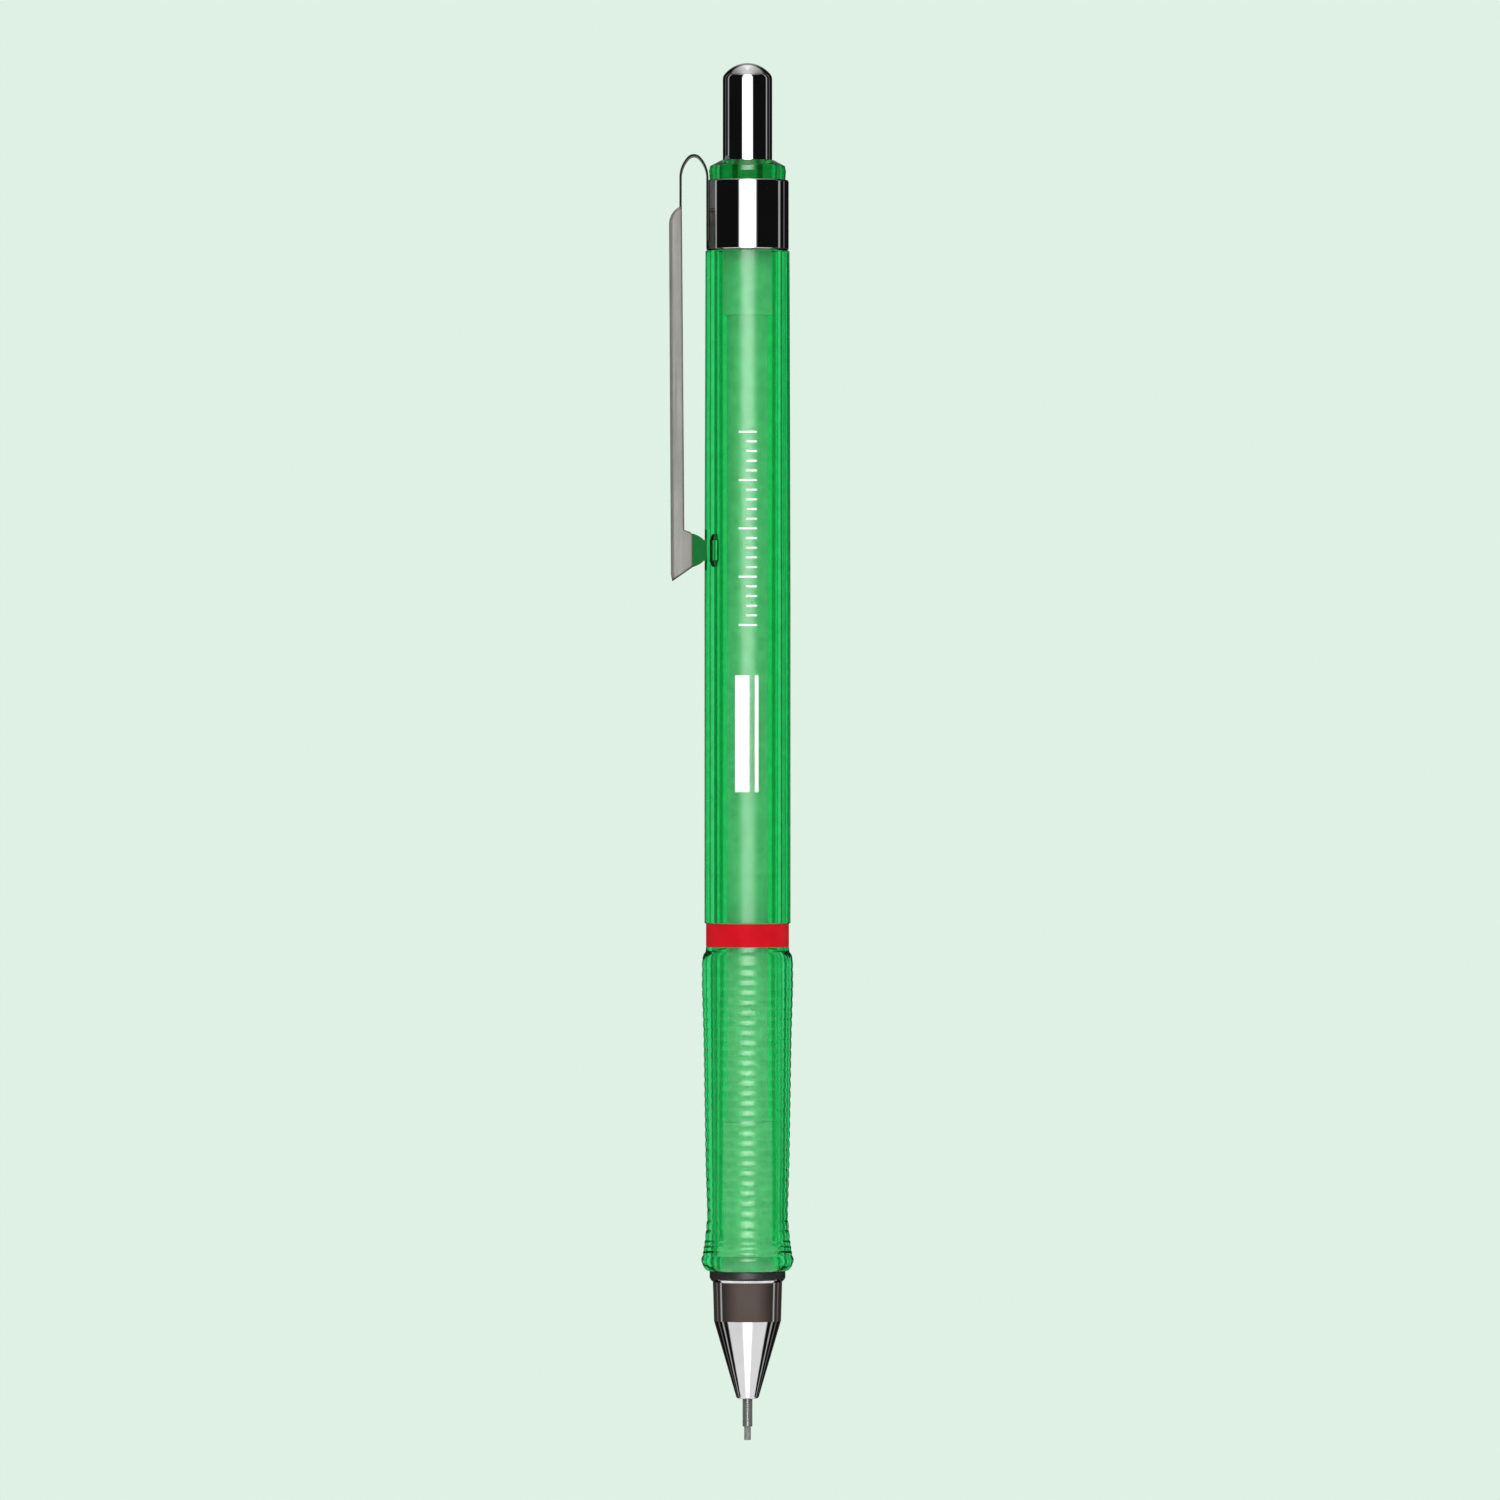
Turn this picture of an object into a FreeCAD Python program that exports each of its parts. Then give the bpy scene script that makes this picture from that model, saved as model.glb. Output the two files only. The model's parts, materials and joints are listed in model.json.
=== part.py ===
import FreeCAD, Part
import math
import os
from types import SimpleNamespace

import Sketcher
from FreeCAD import Rotation, Vector

# A push-button lead holder for 0.7 mm lead, with a clear barrel, a ribbed grip and a sprung steel clip.
# Heights are measured up from the point of the lead, and radii and distances across from the axis.
# Every body is then lowered by datum_height, so that the origin lies on the axis, half-way along the plain
# stretch of barrel between the clip and the coloured ring. +Z runs to the push button, and the clip is on -X.

DIMENSIONS = {
    "datum_height": 71.5,
    "seat_gap": 0.01,
    "face_gap": 0.02,
    "sliding_gap": 0.05,
    # lead and its spares
    "lead_radius": 0.35,
    "lead_length": 60.0,
    "spare_lead_offset": 0.95,
    "spare_lead_foot": 33.85,
    # guide sleeve and lead retainer
    "guide_radius": 0.51,
    "guide_bore": 0.38,
    "guide_foot": 1.4,
    "guide_head_radius": 0.7,
    "guide_head_foot": 4.45,
    "guide_top": 6.2,
    "guide_bevel": 0.06,
    "retainer_radius": 1.0,
    "retainer_bore": 0.37,
    "retainer_top": 7.9,
    # nose cone
    "cone_tip_radius": 1.13,
    "cone_tip_height": 4.31,
    "cone_tip_round": 0.3,
    "cone_break_radius": 3.49,
    "cone_break_height": 12.38,
    "cone_rim_radius": 3.61,
    "cone_top": 16.74,
    "cone_lip_radius": 3.86,
    "cone_lip_foot": 16.67,
    "cone_lip_bevel": 0.25,
    "cone_throat_radius": 1.95,
    "cone_throat_foot": 9.0,
    "cone_pocket_top": 8.0,
    "cone_thread_foot": 12.6,
    # mechanism sleeve
    "sleeve_nose_radius": 2.75,
    "sleeve_flange_radius": 3.15,
    "sleeve_flange_top": 20.0,
    "sleeve_radius": 2.5,
    "sleeve_top": 32.9,
    "spring_chamber_radius": 2.2,
    "spring_seat": 18.0,
    "shank_port_radius": 1.5,
    "ring_chamber_radius": 2.1,
    "ring_chamber_top": 15.6,
    "thread_depth": 0.13,
    "thread_pitch": 0.5,
    "thread_start": 13.3,
    "thread_grooves": 6,
    # clutch ring
    "clutch_radius": 2.05,
    "clutch_foot": 13.4,
    "clutch_mouth_radius": 1.66,
    "clutch_throat_radius": 1.24,
    "clutch_bevel": 0.15,
    # chuck
    "jaw_foot": 12.9,
    "jaw_face_radius": 1.45,
    "jaw_head_foot": 13.1,
    "jaw_head_radius": 1.62,
    "jaw_neck_radius": 1.2,
    "jaw_shank_radius": 1.08,
    "jaw_grip": 0.36,
    "jaw_grip_top": 14.9,
    "jaw_relief": 0.6,
    "jaw_relief_foot": 15.2,
    "jaw_top": 20.35,
    "jaw_sweep": 108.0,
    "chuck_foot": 20.4,
    "chuck_radius": 1.35,
    "chuck_bore": 0.42,
    "chuck_shoulder": 29.5,
    "chuck_top": 34.0,
    "funnel_radius": 1.4,
    "funnel_foot": 31.5,
    # return spring
    "wire_radius": 0.17,
    "coil_radius": 1.76,
    "coil_turns": 8.0,
    # lead tube
    "tube_radius": 2.15,
    "tube_bore": 1.75,
    "tube_top": 121.5,
    # eraser holder, eraser and push button
    "holder_radius": 2.54,
    "holder_foot": 116.8,
    "holder_shoulder": 124.2,
    "holder_spigot_radius": 2.2,
    "holder_bore": 1.7,
    "holder_top": 136.0,
    "eraser_radius": 1.68,
    "eraser_foot": 131.0,
    "eraser_top": 139.5,
    "eraser_round": 0.35,
    "button_radius": 2.57,
    "button_foot": 124.3,
    "button_ceiling": 141.3,
    "button_shoulder": 141.6,
    "button_top": 143.0,
    "button_round": 0.9,
    # barrel
    "barrel_front": 17.6,
    "barrel_waist_radius": 3.7,
    "barrel_foot": 53.64,
    "barrel_radius": 4.47,
    "barrel_taper_foot": 88.0,
    "barrel_top_radius": 4.37,
    "barrel_top": 123.5,
    "barrel_neck_radius": 3.75,
    "barrel_neck_top": 130.8,
    "barrel_bore": 3.2,
    "barrel_port_radius": 2.8,
    "barrel_port_top": 18.8,
    "barrel_round": 0.12,
    # moulded rest for the clip, on the barrel
    "rest_height": 92.4,
    "rest_root": 3.9,
    "rest_root_half": 1.35,
    "rest_waist": 4.5,
    "rest_waist_half": 1.04,
    "rest_flare": 5.7,
    "rest_flare_half": 1.72,
    "rest_nose": 5.9,
    "rest_nose_half": 1.5,
    "rest_end": 7.45,
    "rest_width": 2.8,
    "rest_hollow": 2.6,
    # rings on the barrel
    "colour_ring_foot": 51.2,
    "colour_ring_radius": 4.31,
    "front_ring_foot": 16.76,
    "front_ring_radius": 3.94,
    "front_ring_round": 0.12,
    "clip_ring_radius": 4.29,
    "clip_ring_top": 130.85,
    "clip_ring_round": 0.2,
    # top collar
    "collar_skirt_foot": 124.6,
    "collar_bore": 2.62,
    "collar_foot": 130.87,
    "collar_foot_radius": 3.93,
    "collar_waist_radius": 4.0,
    "collar_waist_height": 131.75,
    "collar_brow_radius": 3.9,
    "collar_brow_height": 132.3,
    "collar_lip_radius": 2.78,
    "collar_top": 132.9,
    "collar_round": 0.1,
    # grip sleeve
    "grip_foot": 17.6,
    "grip_hem_radius": 4.2,
    "grip_hem_bulge": 4.68,
    "grip_hem_top": 18.3,
    "grip_lip_radius": 4.8,
    "grip_lip_height": 18.72,
    "grip_flare_radius": 4.6,
    "grip_flare_height": 19.2,
    "grip_flank_radius": 4.36,
    "grip_flank_height": 20.8,
    "grip_waist_radius": 4.13,
    "grip_waist_height": 23.2,
    "grip_swell_radius": 4.3,
    "grip_swell_height": 28.6,
    "grip_belly_radius": 4.52,
    "grip_belly_height": 42.0,
    "grip_shoulder_radius": 4.69,
    "grip_shoulder_height": 47.2,
    "grip_crown_radius": 4.67,
    "grip_crown_height": 49.9,
    "grip_collar_radius": 4.36,
    "grip_collar_height": 50.7,
    "grip_top_radius": 4.3,
    "grip_top": 51.2,
    "rib_height": 0.07,
    "rib_count": 28.0,
    "fine_rib_count": 3.0,
    # clip
    "clip_thickness": 0.25,
    "clip_strip_width": 2.8,
    "clip_root_foot": 124.6,
    "clip_root_across": 4.165,
    "clip_leg_across": 6.95,
    "clip_leg_foot": 128.0,
    "clip_spring_line": 131.08,
    "clip_flank_radius": 3.0,
    "clip_crown_radius": 0.8,
    "arm_width": 3.8,
    "arm_wall": 0.3,
    "arm_top": 128.0,
    "arm_roof": 127.65,
    "arm_shoulder_height": 126.3,
    "arm_shoulder_across": 8.14,
    "arm_shoulder_round": 2.0,
    "arm_heel_across": 7.95,
    "arm_heel_height": 89.85,
    "arm_tip_across": 7.82,
    "arm_tip_height": 89.2,
    "arm_toe_across": 5.7,
    "arm_toe_foot": 90.68,
    "arm_toe_top": 94.0,
    "arm_step_across": 5.95,
    "arm_step_height": 94.28,
    "arm_instep_across": 6.57,
    "arm_instep_height": 94.5,
    "arm_edge_across": 6.8,
    "arm_edge_height": 125.3,
    "arm_round": 0.4,
    "arm_mouth_across": 5.0,
    "arm_mouth_foot": 88.5,
}

FULL_TURN = 360  # degrees
JAW_COUNT = 3
FIRST_JAW_BEARING = 60  # degrees round from +X
SAME_PLACE = 1e-4  # how near an edge or a point has to lie to a stated place to count as there


class Length:
    """A size with the formula that ties it to the sheet, so that sums of sizes stay tied too."""

    def __init__(self, value, formula):
        self.value = value
        self.formula = formula

    def __add__(self, other):
        return Length(self.value + other.value, f"{self.formula} + {other.formula}")

    def __sub__(self, other):
        return Length(self.value - other.value, f"{self.formula} - ({other.formula})")

    def __neg__(self):
        return Length(-self.value, f"-({self.formula})")

    def __truediv__(self, divisor):
        return Length(self.value / divisor, f"({self.formula}) / {divisor}")


def write_sheet(document):
    """Fills the sheet of driving dimensions, and returns each one as a Length."""
    sheet = document.addObject("Spreadsheet::Sheet", "Dimensions")
    for row, (alias, value) in enumerate(DIMENSIONS.items(), start=1):
        sheet.set(f"A{row}", alias)
        sheet.set(f"B{row}", str(value))
        sheet.setAlias(f"B{row}", alias)
    document.recompute()
    return SimpleNamespace(
        **{alias: Length(sheet.get(alias), f"Dimensions.{alias}") for alias in DIMENSIONS}
    )


doc = FreeCAD.newDocument("LeadHolder")
dim = write_sheet(doc)
AXIS = Length(0.0, "0")


# ---------------------------------------------------------------- drawing helpers


def origin_plane(body, role):
    return next(item for item in body.Origin.OriginFeatures if item.Role == role)


def new_body(name):
    """A body whose own heights count from the lead's point, set down so that the datum is at the origin."""
    body = doc.addObject("PartDesign::Body", name)
    body.Label = name
    body.setExpression("Placement.Base.z", "-Dimensions.datum_height")
    return body


def new_sketch(body, name, role="XZ_Plane"):
    sketch = body.newObject("Sketcher::SketchObject", name)
    sketch.AttachmentSupport = (origin_plane(body, role), [""])
    sketch.MapMode = "FlatFace"
    return sketch


def tie(sketch, kind, places, length):
    """Adds one constraint and binds it to the sheet."""
    index = sketch.addConstraint(Sketcher.Constraint(kind, *places, length.value))
    sketch.setExpression(f"Constraints[{index}]", length.formula)


def tie_point(sketch, edge, end, across, up):
    """Fixes one end of an edge at a distance across and a height from the sketch's own origin."""
    if across is AXIS:
        sketch.addConstraint(Sketcher.Constraint("PointOnObject", edge, end, -2))
    else:
        tie(sketch, "DistanceX", (-1, 1, edge, end), across)
    tie(sketch, "DistanceY", (-1, 1, edge, end), up)


def arc_through(start, end, radius):
    """The arc from start to end that bulges to the right of that way, or to the left if radius is below 0."""
    chord = end - start
    half = chord.Length / 2
    right = Vector(chord.y, -chord.x, 0).normalize() * math.copysign(1, radius)
    rise = abs(radius) - math.sqrt(radius * radius - half * half)
    return Part.Arc(start, (start + end) / 2 + right * rise, end)


def draw_outline(body, name, corners, arcs=None, role="XZ_Plane"):
    """A closed outline with every corner tied to the sheet.

    arcs maps an edge's number to a signed radius, for an edge that is an arc and not straight.
    """
    arcs = arcs or {}
    sketch = new_sketch(body, name, role)
    count = len(corners)
    points = [Vector(across.value, up.value, 0) for across, up in corners]
    for edge in range(count):
        start, end = points[edge], points[(edge + 1) % count]
        if edge in arcs:
            sketch.addGeometry(arc_through(start, end, arcs[edge].value))
        else:
            sketch.addGeometry(Part.LineSegment(start, end))
    # An arc is kept anticlockwise, so its two ends change places when it was drawn clockwise.
    ends = []
    for edge in range(count):
        first = sketch.getPoint(edge, 1)
        near_start = (first - points[edge]).Length < SAME_PLACE
        ends.append((1, 2) if near_start else (2, 1))
    for edge in range(count):
        following = (edge + 1) % count
        sketch.addConstraint(
            Sketcher.Constraint("Coincident", edge, ends[edge][1], following, ends[following][0])
        )
    for edge, (across, up) in enumerate(corners):
        tie_point(sketch, edge, ends[edge][0], across, up)
    for edge, radius in arcs.items():
        size = -radius if radius.value < 0 else radius
        tie(sketch, "Radius", (edge,), size)
    return sketch


def turn(body, sketch, name, sweep=None):
    """Turns an outline about the axis, all the way round or through a sweep centred on the sketch."""
    turning = body.newObject("PartDesign::Revolution", name)
    turning.Profile = sketch
    turning.ReferenceAxis = (sketch, ["V_Axis"])
    turning.Angle = FULL_TURN
    if sweep is not None:
        turning.Midplane = True
        turning.setExpression("Angle", sweep.formula)
    return turning


def turned_body(name, corners, arcs=None):
    """A piece turned all the way round the axis."""
    body = new_body(name)
    turn(body, draw_outline(body, f"{name}_outline", corners, arcs), f"{name}_turning")
    return body


def is_circle_at(edge, places):
    """Whether an edge is a circle round the axis at one of the (radius, height) places."""
    if edge.Degenerated:
        return False
    curve = edge.Curve
    return isinstance(curve, Part.Circle) and any(
        abs(curve.Radius - radius.value) < SAME_PLACE
        and abs(curve.Center.z - height.value) < SAME_PLACE
        for radius, height in places
    )


def dress_edges(body, kind, name, size, wanted):
    """Rounds (Fillet) or bevels (Chamfer) the edges that wanted() picks on the body's last feature."""
    doc.recompute()
    base = body.Tip
    picked = [f"Edge{number}" for number, edge in enumerate(base.Shape.Edges, start=1) if wanted(edge)]
    if not picked:
        raise ValueError(f"{name} picks no edge")
    feature = body.newObject(f"PartDesign::{kind}", name)
    feature.Base = (base, picked)
    feature.setExpression("Radius" if kind == "Fillet" else "Size", size.formula)


def dress_rims(body, kind, name, size, places):
    dress_edges(body, kind, name, size, lambda edge: is_circle_at(edge, places))


def pad(body, sketch, name, width):
    """Pads a sketch by a width shared equally by its two sides."""
    feature = body.newObject("PartDesign::Pad", name)
    feature.Profile = sketch
    feature.Midplane = True
    feature.setExpression("Length", width.formula)


def pocket(body, sketch, name, width):
    """Cuts a sketch's outline away over a width shared equally by its two sides."""
    doc.recompute()
    before = body.Shape.Volume
    feature = body.newObject("PartDesign::Pocket", name)
    feature.Profile = sketch
    feature.Midplane = True
    feature.setExpression("Length", width.formula)
    doc.recompute()
    if body.Shape.Volume >= before:
        raise ValueError(f"{name} cuts nothing")


# ---------------------------------------------------------------- lead and nose


def make_lead():
    turned_body(
        "lead",
        [
            (AXIS, AXIS),
            (dim.lead_radius, AXIS),
            (dim.lead_radius, dim.lead_length),
            (AXIS, dim.lead_length),
        ],
    )


def make_spare_lead(name, side):
    """A spare lead beside the one in use. It stands in the funnel of the chuck, off the axis."""
    body = new_body(name)
    top = dim.spare_lead_foot + dim.lead_length
    corners = [
        (AXIS, dim.spare_lead_foot),
        (dim.lead_radius, dim.spare_lead_foot),
        (dim.lead_radius, top),
        (AXIS, top),
    ]
    turn(body, draw_outline(body, f"{name}_outline", corners), f"{name}_turning")
    body.setExpression("Placement.Base.y", f"{side} * Dimensions.spare_lead_offset")


def make_guide_sleeve():
    """The steel tube in the cone's point, with a wider head inside the cone."""
    body = turned_body(
        "guide_sleeve",
        [
            (dim.guide_bore, dim.guide_foot),
            (dim.guide_radius, dim.guide_foot),
            (dim.guide_radius, dim.guide_head_foot),
            (dim.guide_head_radius, dim.guide_head_foot),
            (dim.guide_head_radius, dim.guide_top),
            (dim.guide_bore, dim.guide_top),
        ],
    )
    dress_rims(body, "Chamfer", "guide_bevel", dim.guide_bevel, [(dim.guide_radius, dim.guide_foot)])


def make_lead_retainer():
    foot = dim.guide_top + dim.face_gap
    radius = dim.retainer_radius - dim.seat_gap
    turned_body(
        "lead_retainer",
        [
            (dim.retainer_bore, foot),
            (radius, foot),
            (radius, dim.retainer_top),
            (dim.retainer_bore, dim.retainer_top),
        ],
    )


def make_nose_cone():
    """A turned cone with the guide sleeve in its point, a flared lip and a threaded socket behind."""
    mouth = dim.guide_radius + dim.seat_gap
    head_bore = dim.guide_head_radius + dim.seat_gap
    head_seat = dim.guide_head_foot - dim.face_gap
    socket = dim.sleeve_nose_radius + dim.sliding_gap
    body = turned_body(
        "nose_cone",
        [
            (mouth, dim.cone_tip_height),
            (dim.cone_tip_radius, dim.cone_tip_height),
            (dim.cone_break_radius, dim.cone_break_height),
            (dim.cone_rim_radius, dim.cone_lip_foot - dim.cone_lip_bevel),
            (dim.cone_lip_radius, dim.cone_lip_foot),
            (dim.cone_lip_radius, dim.cone_top),
            (socket, dim.cone_top),
            (socket, dim.cone_thread_foot),
            (dim.cone_throat_radius, dim.cone_thread_foot),
            (dim.cone_throat_radius, dim.cone_throat_foot),
            (dim.retainer_radius, dim.cone_pocket_top),
            (dim.retainer_radius, dim.guide_top),
            (head_bore, dim.guide_top),
            (head_bore, head_seat),
            (mouth, head_seat),
        ],
    )
    dress_rims(
        body, "Fillet", "cone_tip_round", dim.cone_tip_round, [(dim.cone_tip_radius, dim.cone_tip_height)]
    )


# ---------------------------------------------------------------- mechanism


def make_mechanism_sleeve():
    """The sleeve that holds the clutch ring and the return spring, with a threaded nose for the cone."""
    foot = dim.cone_thread_foot + dim.face_gap
    flange_foot = dim.barrel_port_top + dim.face_gap
    body = turned_body(
        "mechanism_sleeve",
        [
            (dim.ring_chamber_radius, foot),
            (dim.sleeve_nose_radius, foot),
            (dim.sleeve_nose_radius, flange_foot),
            (dim.sleeve_flange_radius, flange_foot),
            (dim.sleeve_flange_radius, dim.sleeve_flange_top),
            (dim.sleeve_radius, dim.sleeve_flange_top),
            (dim.sleeve_radius, dim.sleeve_top),
            (dim.spring_chamber_radius, dim.sleeve_top),
            (dim.spring_chamber_radius, dim.spring_seat),
            (dim.shank_port_radius, dim.spring_seat),
            (dim.shank_port_radius, dim.ring_chamber_top),
            (dim.ring_chamber_radius, dim.ring_chamber_top),
        ],
    )
    cut_thread(body)


def cut_thread(body):
    """The cone's thread, as a row of V grooves round the nose."""
    doc.recompute()
    before = body.Shape.Volume
    half_pitch = dim.thread_pitch / 2
    outside = dim.sleeve_nose_radius + dim.thread_depth
    sketch = draw_outline(
        body,
        "thread_outline",
        [
            (dim.sleeve_nose_radius - dim.thread_depth, dim.thread_start),
            (outside, dim.thread_start - half_pitch),
            (outside, dim.thread_start + half_pitch),
        ],
    )
    groove = body.newObject("PartDesign::Groove", "thread_groove")
    groove.Profile = sketch
    groove.ReferenceAxis = (sketch, ["V_Axis"])
    groove.Angle = FULL_TURN
    doc.recompute()
    if body.Shape.Volume >= before:
        raise ValueError("thread_groove cuts nothing")
    row = body.newObject("PartDesign::LinearPattern", "thread_row")
    row.Originals = [groove]
    row.Direction = (sketch, ["V_Axis"])
    row.setExpression("Occurrences", dim.thread_grooves.formula)
    row.setExpression("Length", f"{dim.thread_pitch.formula} * ({dim.thread_grooves.formula} - 1)")
    body.Tip = row


def make_clutch_ring():
    top = dim.ring_chamber_top - dim.face_gap
    body = turned_body(
        "clutch_ring",
        [
            (dim.clutch_mouth_radius, dim.clutch_foot),
            (dim.clutch_radius, dim.clutch_foot),
            (dim.clutch_radius, top),
            (dim.clutch_throat_radius, top),
        ],
    )
    rims = [(dim.clutch_radius, dim.clutch_foot), (dim.clutch_radius, top)]
    dress_rims(body, "Chamfer", "clutch_bevel", dim.clutch_bevel, rims)


def make_chuck_jaw(name, bearing):
    """One of the three jaws: a sector whose conical head the clutch ring closes on the lead."""
    body = new_body(name)
    sketch = draw_outline(
        body,
        f"{name}_outline",
        [
            (dim.jaw_grip, dim.jaw_foot),
            (dim.jaw_face_radius, dim.jaw_foot),
            (dim.jaw_head_radius, dim.jaw_head_foot),
            (dim.jaw_head_radius, dim.clutch_foot),
            (dim.jaw_neck_radius, dim.ring_chamber_top),
            (dim.jaw_shank_radius, dim.ring_chamber_top),
            (dim.jaw_shank_radius, dim.jaw_top),
            (dim.jaw_relief, dim.jaw_top),
            (dim.jaw_relief, dim.jaw_relief_foot),
            (dim.jaw_grip, dim.jaw_grip_top),
        ],
    )
    turn(body, sketch, f"{name}_turning", sweep=dim.jaw_sweep)
    facing = Rotation(Vector(0, 0, 1), bearing)
    body.Placement = FreeCAD.Placement(Vector(0, 0, -dim.datum_height.value), facing)
    body.setExpression("Placement.Base.z", "-Dimensions.datum_height")


def make_chuck_body():
    """The chuck's shank, with a plug for the lead tube and a funnel that centres the next lead."""
    plug_radius = dim.tube_bore - dim.seat_gap
    turned_body(
        "chuck_body",
        [
            (dim.chuck_bore, dim.chuck_foot),
            (dim.chuck_radius, dim.chuck_foot),
            (dim.chuck_radius, dim.chuck_shoulder),
            (plug_radius, dim.chuck_shoulder),
            (plug_radius, dim.chuck_top),
            (dim.funnel_radius, dim.chuck_top),
            (dim.chuck_bore, dim.funnel_foot),
        ],
    )


def make_return_spring():
    """The coil between the sleeve's spring seat and the foot of the lead tube."""
    body = new_body("return_spring")
    foot = dim.spring_seat + dim.wire_radius + dim.face_gap
    sketch = new_sketch(body, "return_spring_wire")
    centre = Vector(dim.coil_radius.value, foot.value, 0)
    sketch.addGeometry(Part.Circle(centre, Vector(0, 0, 1), dim.wire_radius.value))
    tie(sketch, "Radius", (0,), dim.wire_radius)
    tie_point(sketch, 0, 3, dim.coil_radius, foot)
    coil = body.newObject("PartDesign::AdditiveHelix", "return_spring_coil")
    coil.Profile = sketch
    coil.ReferenceAxis = (sketch, ["V_Axis"])
    coil.Mode = "height-turns-angle"
    rise = dim.chuck_shoulder - dim.spring_seat - dim.wire_radius - dim.wire_radius
    coil.setExpression("Height", (rise - dim.face_gap - dim.face_gap).formula)
    coil.setExpression("Turns", dim.coil_turns.formula)


def make_lead_tube():
    turned_body(
        "lead_tube",
        [
            (dim.tube_bore, dim.chuck_shoulder),
            (dim.tube_radius, dim.chuck_shoulder),
            (dim.tube_radius, dim.tube_top),
            (dim.tube_bore, dim.tube_top),
        ],
    )


# ---------------------------------------------------------------- rear end


def make_eraser_holder():
    """The coupler on the lead tube's rear end, whose spigot carries the eraser and the push button."""
    socket = dim.tube_radius + dim.seat_gap
    socket_top = dim.tube_top + dim.face_gap
    turned_body(
        "eraser_holder",
        [
            (socket, dim.holder_foot),
            (dim.holder_radius, dim.holder_foot),
            (dim.holder_radius, dim.holder_shoulder),
            (dim.holder_spigot_radius, dim.holder_shoulder),
            (dim.holder_spigot_radius, dim.holder_top),
            (dim.holder_bore, dim.holder_top),
            (dim.holder_bore, socket_top),
            (socket, socket_top),
        ],
    )


def make_eraser():
    body = turned_body(
        "eraser",
        [
            (AXIS, dim.eraser_foot),
            (dim.eraser_radius, dim.eraser_foot),
            (dim.eraser_radius, dim.eraser_top),
            (AXIS, dim.eraser_top),
        ],
    )
    dress_rims(body, "Fillet", "eraser_round", dim.eraser_round, [(dim.eraser_radius, dim.eraser_top)])


def make_push_button():
    """A drawn cap with a domed crown, which pushes on over the eraser holder's spigot."""
    bore = dim.holder_spigot_radius + dim.sliding_gap
    rise = dim.button_top.value - dim.button_shoulder.value
    crown = (dim.button_radius.value**2 + rise**2) / (2 * rise)
    crown_formula = (
        "(Dimensions.button_radius ^ 2 + (Dimensions.button_top - Dimensions.button_shoulder) ^ 2)"
        " / (2 * (Dimensions.button_top - Dimensions.button_shoulder))"
    )
    crown_edge = 2
    body = turned_body(
        "push_button",
        [
            (bore, dim.button_foot),
            (dim.button_radius, dim.button_foot),
            (dim.button_radius, dim.button_shoulder),
            (AXIS, dim.button_top),
            (AXIS, dim.button_ceiling),
            (bore, dim.button_ceiling),
        ],
        arcs={crown_edge: Length(crown, crown_formula)},
    )
    dress_rims(body, "Fillet", "button_round", dim.button_round, [(dim.button_radius, dim.button_shoulder)])


def make_top_collar():
    """The bevelled collar that guides the button, with a skirt inside the barrel's neck."""
    skirt_radius = dim.barrel_bore - dim.seat_gap
    body = turned_body(
        "top_collar",
        [
            (dim.collar_bore, dim.collar_skirt_foot),
            (skirt_radius, dim.collar_skirt_foot),
            (skirt_radius, dim.collar_foot),
            (dim.collar_foot_radius, dim.collar_foot),
            (dim.collar_waist_radius, dim.collar_waist_height),
            (dim.collar_brow_radius, dim.collar_brow_height),
            (dim.collar_lip_radius, dim.collar_top),
            (dim.collar_bore, dim.collar_top),
        ],
    )
    rims = [
        (dim.collar_brow_radius, dim.collar_brow_height),
        (dim.collar_waist_radius, dim.collar_waist_height),
    ]
    dress_rims(body, "Fillet", "collar_round", dim.collar_round, rims)


# ---------------------------------------------------------------- barrel and its rings


def make_barrel():
    """The clear barrel: a full-width rear, a slimmer front under the grip, and a neck for the clip ring."""
    body = turned_body(
        "barrel",
        [
            (dim.barrel_port_radius, dim.barrel_front),
            (dim.barrel_waist_radius, dim.barrel_front),
            (dim.barrel_waist_radius, dim.barrel_foot),
            (dim.barrel_radius, dim.barrel_foot),
            (dim.barrel_radius, dim.barrel_taper_foot),
            (dim.barrel_top_radius, dim.barrel_top),
            (dim.barrel_neck_radius, dim.barrel_top),
            (dim.barrel_neck_radius, dim.barrel_neck_top),
            (dim.barrel_bore, dim.barrel_neck_top),
            (dim.barrel_bore, dim.barrel_port_top),
            (dim.barrel_port_radius, dim.barrel_port_top),
        ],
    )
    rims = [(dim.barrel_radius, dim.barrel_foot), (dim.barrel_top_radius, dim.barrel_top)]
    dress_rims(body, "Fillet", "barrel_round", dim.barrel_round, rims)
    add_clip_rest(body)


def add_clip_rest(body):
    """The waisted rest that is moulded on the barrel and reaches in between the clip's flanges."""
    half = [
        (dim.rest_root, dim.rest_root_half),
        (dim.rest_waist, dim.rest_waist_half),
        (dim.rest_flare, dim.rest_flare_half),
        (dim.rest_nose, dim.rest_nose_half),
        (dim.rest_end, dim.rest_nose_half),
    ]
    upper = [(-across, dim.rest_height + rise) for across, rise in half]
    lower = [(-across, dim.rest_height - rise) for across, rise in reversed(half)]
    upper_hollow, lower_hollow = 1, 7  # the edges between the waist and the flare
    hollows = {upper_hollow: dim.rest_hollow, lower_hollow: dim.rest_hollow}
    sketch = draw_outline(body, "clip_rest_outline", upper + lower, hollows)
    pad(body, sketch, "clip_rest", dim.rest_width)


def make_plain_ring(name, foot, top, bore, radius, edge_round, round_name):
    body = turned_body(name, [(bore, foot), (radius, foot), (radius, top), (bore, top)])
    dress_rims(body, "Fillet", round_name, edge_round, [(radius, foot), (radius, top)])
    return body


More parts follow.
